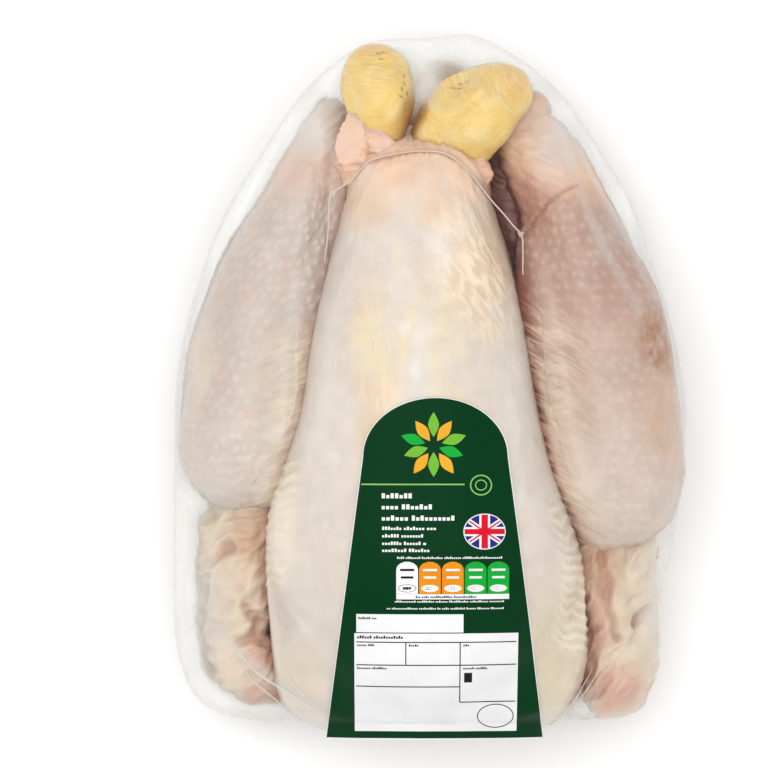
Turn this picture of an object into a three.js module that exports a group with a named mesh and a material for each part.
// A whole raw chicken, breast up, sealed in a clear close-fitting bag with a paper label.
// Millimetres. +Z is up, +Y runs from the neck to the tied legs, and +X is to the right
// when the pack is seen from above with the legs at the top.
import * as THREE from 'three';
import { mergeVertices } from 'three/addons/utils/BufferGeometryUtils.js';

// The pack as a whole
const packLength = 290;
const packWidth = 212;
const breastHeight = 119;

// The skirt of film round the foot of the bird, a soft-edged pillow that sets the outline
const skirtHeight = 50;
const skirtRound = skirtHeight / 2;
const bodyBridge = 16; // how widely the film spans the hollows between the body's own forms
const creaseBridge = 8; // and the creases beside the limbs, where it is drawn in tight

// The label
const labelTopY = -5;
const labelBottomY = -142.8;
const labelCentreX = 1.4;
const labelArchWidth = 58.6;
const labelArchRise = 23.8;
const labelFootWidth = 89;
const labelThickness = 0.5;
const labelGap = 0.9; // from the curved film; the flat facets under it lie a little lower

// Mesh fineness
const filmCells = 30;
const labelColumns = 14;
const labelSideRows = 20;
const labelArchRows = 8;

// The outline of the skirt, anticlockwise from the middle of the neck end. It is a little
// wider on one side than on the other, and pinched where the film runs up to the two hocks.
const halfWidth = packWidth / 2;
const halfLength = packLength / 2;
const outline = [
  [0, -halfLength],
  [45, 0.5 - halfLength],
  [62, 6 - halfLength],
  [86, 9 - halfLength],
  [halfWidth - 11, 21 - halfLength],
  [halfWidth - 9, -95],
  [halfWidth - 3, -46],
  [halfWidth, -14],
  [halfWidth - 5, 20],
  [halfWidth - 15, 53],
  [halfWidth - 28, 85],
  [halfWidth - 49, 110],
  [38, 129],
  [17, halfLength - 1],
  [-3, halfLength - 5],
  [-24, halfLength - 4],
  [-45, 126],
  [25 - halfWidth, 79],
  [10 - halfWidth, 43],
  [1 - halfWidth, 5],
  [-halfWidth, -50],
  [1 - halfWidth, -110],
  [8 - halfWidth, 16 - halfLength],
  [19 - halfWidth, 9 - halfLength],
  [-64, 5 - halfLength],
  [-45, 0.5 - halfLength],
];

// Round forms under the film. Each is a row of balls, [x, y, z, radius], along a smooth line.
const limbs = {
  legLeft: [[-77, -26, 49, 28], [-66, 40, 50, 23], [-47, 84, 52, 14]],
  legRight: [[77, -42, 50, 29], [69, 28, 52, 27], [50, 76, 53, 20], [45, 98, 50, 14]],
  hockLeft: [[-11, 96, 64, 12], [-23, 126, 61, 15]],
  hockRight: [[6, 96, 64, 13], [28, 117, 61, 16]],
  wingLeft: [[-72, -62, 44, 19], [-79, -92, 42, 18], [-72, -117, 37, 19]],
  wingRight: [[76, -78, 46, 19], [79, -100, 42, 19], [72, -119, 38, 18]],
  neckEnd: [[-34, -111, 46, 33], [36, -111, 46, 33]],
};

// Egg-shaped forms: the breast from the neck to the vent, and the film that is stretched
// from the hocks down to the legs
const eggs = {
  breastFull: { centre: [-2, -63, 60], radii: [66, 74, breastHeight - 60] },
  breastMiddle: { centre: [-4, 0, 58], radii: [54, 92, 52] },
  breastTail: { centre: [-4, 60, 52], radii: [38, 50, 40] },
  hockWeb: { centre: [2, 94, 36], radii: [60, 45, 33] },
};

function smoothMin(a, b, width) {
  const mix = Math.max(width - Math.abs(a - b), 0) / width;
  return Math.min(a, b) - (mix * mix * width) / 4;
}

// The outline as a closed polygon that is fine enough to look round
function makeFootprint(points) {
  const stepsPerPoint = 5;
  const curve = new THREE.CatmullRomCurve3(
    points.map(([x, y]) => new THREE.Vector3(x, y, 0)), true, 'centripetal');
  return curve.getPoints(points.length * stepsPerPoint).slice(0, -1);
}

const footprint = makeFootprint(outline);

// Distance from a point to the outline in plan, negative inside
function footprintDistance(x, y) {
  let nearest = Infinity;
  let inside = false;
  footprint.forEach((a, i) => {
    const b = footprint[(i + 1) % footprint.length];
    const edgeX = b.x - a.x;
    const edgeY = b.y - a.y;
    const along = THREE.MathUtils.clamp(
      ((x - a.x) * edgeX + (y - a.y) * edgeY) / (edgeX * edgeX + edgeY * edgeY), 0, 1);
    nearest = Math.min(nearest, Math.hypot(x - a.x - along * edgeX, y - a.y - along * edgeY));
    if ((a.y > y) !== (b.y > y) && x < a.x + ((y - a.y) / edgeY) * edgeX) {
      inside = !inside;
    }
  });
  return inside ? -nearest : nearest;
}

function skirtDistance(p) {
  const outward = footprintDistance(p.x, p.y) + skirtRound;
  const upward = Math.abs(p.z - skirtHeight / 2) - (skirtHeight / 2 - skirtRound);
  const corner = Math.hypot(Math.max(outward, 0), Math.max(upward, 0));
  return corner + Math.min(Math.max(outward, upward), 0) - skirtRound;
}

// More balls along the smooth line through the given ones, so that a limb shows no corner
function makeLimb(balls) {
  const stepsPerBall = 4;
  const line = new THREE.CatmullRomCurve3(balls.map(([x, y, z]) => new THREE.Vector3(x, y, z)));
  const size = new THREE.CatmullRomCurve3(balls.map(([, , , radius]) => new THREE.Vector3(radius)));
  const steps = (balls.length - 1) * stepsPerBall;
  return Array.from({ length: steps + 1 }, (_, i) => (
    { centre: line.getPoint(i / steps), radius: size.getPoint(i / steps).x }));
}

const limbBalls = Object.values(limbs).map(makeLimb);

function coneDistance(p, from, to) {
  const way = to.centre.clone().sub(from.centre);
  const offset = p.clone().sub(from.centre);
  const along = THREE.MathUtils.clamp(offset.dot(way) / way.lengthSq(), 0, 1);
  return offset.addScaledVector(way, -along).length()
    - THREE.MathUtils.lerp(from.radius, to.radius, along);
}

function limbDistance(p, balls) {
  return Math.min(...balls.slice(1).map((ball, i) => coneDistance(p, balls[i], ball)));
}

function eggDistance(p, { centre, radii }) {
  const size = new THREE.Vector3(...radii);
  const scaled = p.clone().sub(new THREE.Vector3(...centre)).divide(size);
  const reach = scaled.length();
  return (reach * (reach - 1)) / Math.max(scaled.divide(size).length(), 1e-6);
}

// Distance from a point to the film, which is cut flat at z = 0 where the pack rests
function filmDistance(p) {
  let distance = skirtDistance(p);
  for (const egg of Object.values(eggs)) {
    distance = smoothMin(distance, eggDistance(p, egg), bodyBridge);
  }
  for (const balls of limbBalls) {
    distance = smoothMin(distance, limbDistance(p, balls), creaseBridge);
  }
  return Math.max(distance, -p.z);
}

// Walks from start towards target until the film is met
function meetFilm(start, target) {
  const steps = 160;
  const pace = 0.8;
  const closeEnough = 0.002;
  const way = target.clone().sub(start).normalize();
  const point = start.clone();
  for (let step = 0; step < steps; step += 1) {
    const distance = filmDistance(point);
    if (distance < closeEnough) {
      break;
    }
    point.addScaledVector(way, distance * pace);
  }
  return point;
}

function filmNormal(p) {
  const probe = 0.5;
  const slope = ['x', 'y', 'z'].map((axis) => {
    const ahead = p.clone();
    const behind = p.clone();
    ahead[axis] += probe;
    behind[axis] -= probe;
    return filmDistance(ahead) - filmDistance(behind);
  });
  return new THREE.Vector3(...slope).normalize();
}

// The sealed bag: a cube's grid drawn in from an egg round the pack until it meets the film
function makeBag() {
  const outer = new THREE.Vector3(halfWidth + 60, halfLength + 60, breastHeight + 40);
  const inner = new THREE.Vector3(halfWidth - 50, halfLength - 62, 8);
  const middle = new THREE.Vector3(0, 0, skirtHeight / 2);
  const flat = 0.05;
  const box = new THREE.BoxGeometry(2, 2, 2, filmCells, filmCells, filmCells);
  box.deleteAttribute('uv');
  box.deleteAttribute('normal');
  const geometry = mergeVertices(box);
  const place = geometry.getAttribute('position');
  for (let i = 0; i < place.count; i += 1) {
    const cell = new THREE.Vector3().fromBufferAttribute(place, i);
    const way = new THREE.Vector3(
      ...cell.toArray().map((side) => Math.tan((side * Math.PI) / 4))).normalize();
    const point = meetFilm(
      way.clone().multiply(outer).add(middle), way.clone().multiply(inner).add(middle));
    place.setXYZ(i, point.x, point.y, point.z < flat ? 0 : point.z);
  }
  geometry.computeVertexNormals();
  return geometry;
}

// Where each row of the label lies along Y, and how wide it is there
function labelRows() {
  const archBaseY = labelTopY - labelArchRise;
  const lastArchAngle = THREE.MathUtils.degToRad(82); // leaves a short straight edge at the crown
  const rows = [];
  for (let i = 0; i < labelSideRows; i += 1) {
    const up = 1 - Math.cos(((i / labelSideRows) * Math.PI) / 2); // closer rows on the steep end
    rows.push({
      y: THREE.MathUtils.lerp(labelBottomY, archBaseY, up),
      width: THREE.MathUtils.lerp(labelFootWidth, labelArchWidth, up),
    });
  }
  for (let i = 0; i <= labelArchRows; i += 1) {
    const angle = (i / labelArchRows) * lastArchAngle;
    rows.push({
      y: archBaseY + labelArchRise * Math.sin(angle),
      width: labelArchWidth * Math.cos(angle),
    });
  }
  return rows;
}

// The label: two like sheets a thickness apart, laid down on the film from above
function makeLabel() {
  const above = 200;
  const rows = labelRows();
  const sheets = [labelGap, labelGap + labelThickness];
  const positions = [];
  for (const lift of sheets) {
    for (const row of rows) {
      for (let column = 0; column <= labelColumns; column += 1) {
        const x = labelCentreX + row.width * (column / labelColumns - 0.5);
        const point = meetFilm(new THREE.Vector3(x, row.y, above), new THREE.Vector3(x, row.y, 0));
        point.addScaledVector(filmNormal(point), lift);
        positions.push(...point.toArray());
      }
    }
  }
  const rowSize = labelColumns + 1;
  const sheetSize = rows.length * rowSize;
  const index = [];
  for (let row = 0; row < rows.length - 1; row += 1) {
    for (let column = 0; column < labelColumns; column += 1) {
      const a = row * rowSize + column;
      const b = a + 1;
      const c = b + rowSize;
      const d = a + rowSize;
      index.push(a, c, b, a, d, c);
      index.push(...[a, b, c, a, c, d].map((vertex) => vertex + sheetSize));
    }
  }
  const rim = [];
  for (let column = 0; column < labelColumns; column += 1) {
    rim.push(column);
  }
  for (let row = 0; row < rows.length - 1; row += 1) {
    rim.push(row * rowSize + labelColumns);
  }
  for (let column = labelColumns; column > 0; column -= 1) {
    rim.push((rows.length - 1) * rowSize + column);
  }
  for (let row = rows.length - 1; row > 0; row -= 1) {
    rim.push(row * rowSize);
  }
  rim.forEach((vertex, i) => {
    const next = rim[(i + 1) % rim.length];
    index.push(vertex, next, next + sheetSize, vertex, next + sheetSize, vertex + sheetSize);
  });
  const geometry = new THREE.BufferGeometry();
  geometry.setAttribute('position', new THREE.Float32BufferAttribute(positions, 3));
  geometry.setIndex(index);
  geometry.computeVertexNormals();
  return geometry;
}

function makePiece(name, geometry, material) {
  const mesh = new THREE.Mesh(geometry, material);
  mesh.name = name;
  return mesh;
}

const pack = new THREE.Group();
pack.add(makePiece('bag', makeBag(),
  new THREE.MeshStandardMaterial({ color: 0xe6d2c2, roughness: 0.3, metalness: 0 })));
pack.add(makePiece('label', makeLabel(),
  new THREE.MeshStandardMaterial({ color: 0x063a1f, roughness: 0.5, metalness: 0 })));

// The origin is on the resting face, at the middle of the pack's outline
const bounds = new THREE.Box3().setFromObject(pack);
const middle = bounds.getCenter(new THREE.Vector3());
pack.position.set(-middle.x, -middle.y, 0);

export default pack;
